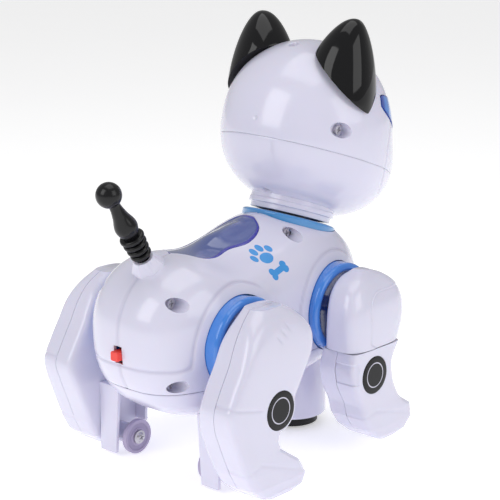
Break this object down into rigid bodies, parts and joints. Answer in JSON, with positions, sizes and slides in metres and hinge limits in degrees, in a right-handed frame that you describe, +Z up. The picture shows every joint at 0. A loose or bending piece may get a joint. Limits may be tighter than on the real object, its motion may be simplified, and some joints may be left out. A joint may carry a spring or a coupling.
{
  "type": "robot dog toy",
  "caption": "Upright robot dog toy with a round turning head, pointed ears, swinging legs, castor wheels, a drive turret under the chest and a wagging tail.",
  "frame": {"origin": "on the floor below the middle of the overall box", "axes": "+X forward (the nose), +Y the dog's left, +Z up"},
  "size_m": [0.2325, 0.1556, 0.2535],
  "materials": {
    "white_shell": "glossy lavender-white ABS",
    "blue_clear": "translucent blue polycarbonate",
    "lens": "clear blue-violet window",
    "black_gloss": "gloss black",
    "black_matte": "satin black",
    "red": "red switch knob",
    "castor": "lavender-grey plastic",
    "steel": "plated steel",
    "frame_grey": "moulded grey plastic",
    "gear": "natural acetal",
    "board": "green circuit board",
    "cell": "printed foil sleeve",
    "motor": "steel can"
  },
  "bodies": {
    "body": {"body_shell_left": "white_shell", "body_shell_right": "white_shell", "belly_tub": "white_shell", "back_lens": "lens", "neck_light_ring": "blue_clear", "shoulder_ring_left": "blue_clear", "shoulder_ring_right": "blue_clear", "hip_ring_left": "blue_clear", "hip_ring_right": "blue_clear", "tail_socket": "white_shell", "turret_housing": "white_shell", "leg_frame": "frame_grey", "battery_box": "black_matte", "battery_cells": "cell", "control_board": "board", "speaker": "black_matte", "gearbox_plate": "frame_grey", "leg_motor": "motor", "head_motor": "motor", "neck_post": "frame_grey", "switch_body": "black_matte", "body_screws": "steel"},
    "battery_cover": {"battery_cover": "white_shell"},
    "power_switch": {"switch_slider": "red"},
    "head": {"head_lower_shell": "white_shell", "head_upper_shell": "white_shell", "head_frame": "frame_grey", "ear_left": "black_gloss", "ear_right": "black_gloss", "face_visor": "blue_clear", "eye_board": "board", "nose": "black_gloss", "head_screws": "steel"},
    "crank_gear": {"crank_gear": "gear"},
    "motor_pinion": {"motor_pinion": "gear"},
    "tail": {"tail": "black_gloss"},
    "turret": {"turret_base": "black_matte"},
    "drive_wheels": {"drive_wheels": "black_matte"},
    "front_leg_left": {"front_leg_outer_left": "white_shell", "front_leg_inner_left": "white_shell", "shoulder_cover_left": "white_shell", "front_axle_left": "steel", "front_knee_cap_left": "black_matte"},
    "rear_leg_left": {"rear_leg_outer_left": "white_shell", "rear_leg_inner_left": "white_shell", "rear_axle_left": "steel", "rear_knee_cap_left": "black_matte", "castor_screw_left": "steel"},
    "castor_left": {"castor_wheel_left": "castor"},
    "front_leg_right": {"front_leg_outer_right": "white_shell", "front_leg_inner_right": "white_shell", "shoulder_cover_right": "white_shell", "front_axle_right": "steel", "front_knee_cap_right": "black_matte"},
    "rear_leg_right": {"rear_leg_outer_right": "white_shell", "rear_leg_inner_right": "white_shell", "rear_axle_right": "steel", "rear_knee_cap_right": "black_matte", "castor_screw_right": "steel"},
    "castor_right": {"castor_wheel_right": "castor"}
  },
  "joints": [
    {"name": "head_turn", "type": "hinge", "parent": "body", "child": "head", "pos_m": [0.03895, 0, 0.13052], "axis": [0.342, 0, 0.9397], "range_deg": [-45, 45]},
    {"name": "tail_wag", "type": "hinge", "parent": "body", "child": "tail", "pos_m": [-0.08255, 0, 0.127], "axis": [0.848, 0, 0.5299], "range_deg": [-15, 15]},
    {"name": "front_leg_swing_left", "type": "hinge", "parent": "body", "child": "front_leg_left", "pos_m": [0.0333, 0, 0.085], "axis": [0, 1, 0], "range_deg": [-15, 15]},
    {"name": "rear_leg_swing_left", "type": "hinge", "parent": "body", "child": "rear_leg_left", "pos_m": [-0.05033, 0, 0.082], "axis": [0, 1, 0], "range_deg": [-15, 15]},
    {"name": "castor_spin_left", "type": "hinge", "parent": "rear_leg_left", "child": "castor_left", "pos_m": [-0.06233, 0.031, 0.0104], "axis": [0, 1, 0], "continuous": true},
    {"name": "front_leg_swing_right", "type": "hinge", "parent": "body", "child": "front_leg_right", "pos_m": [0.0333, 0, 0.085], "axis": [0, 1, 0], "range_deg": [-15, 15]},
    {"name": "rear_leg_swing_right", "type": "hinge", "parent": "body", "child": "rear_leg_right", "pos_m": [-0.05033, 0, 0.082], "axis": [0, 1, 0], "range_deg": [-15, 15]},
    {"name": "castor_spin_right", "type": "hinge", "parent": "rear_leg_right", "child": "castor_right", "pos_m": [-0.06233, -0.031, 0.0104], "axis": [0, 1, 0], "continuous": true},
    {"name": "turret_swivel", "type": "hinge", "parent": "body", "child": "turret", "pos_m": [0.04195, 0, 0.009], "axis": [0, 0, 1], "continuous": true},
    {"name": "drive_wheel_spin", "type": "hinge", "parent": "turret", "child": "drive_wheels", "pos_m": [0.04195, 0, 0.009], "axis": [0, 1, 0], "continuous": true},
    {"name": "crank_gear_spin", "type": "hinge", "parent": "body", "child": "crank_gear", "pos_m": [-0.00555, 0.008, 0.089], "axis": [0, 1, 0], "continuous": true},
    {"name": "motor_pinion_spin", "type": "hinge", "parent": "body", "child": "motor_pinion", "pos_m": [-0.0298, 0.008, 0.089], "axis": [0, 1, 0], "continuous": true},
    {"name": "power_switch_slide", "type": "slide", "parent": "body", "child": "power_switch", "axis": [0, 0, 1], "range_m": [-0.002, 0.002]},
    {"name": "battery_cover_lift", "type": "slide", "parent": "body", "child": "battery_cover", "axis": [0, 0, -1], "range_m": [0, 0.02]}
  ],
  "couplings": [
    {"joint": "motor_pinion_spin", "follows": "crank_gear_spin", "ratio": -3},
    {"joint": "rear_leg_swing_right", "follows": "front_leg_swing_left", "ratio": 1},
    {"joint": "front_leg_swing_right", "follows": "front_leg_swing_left", "ratio": -1},
    {"joint": "rear_leg_swing_left", "follows": "front_leg_swing_left", "ratio": -1}
  ]
}
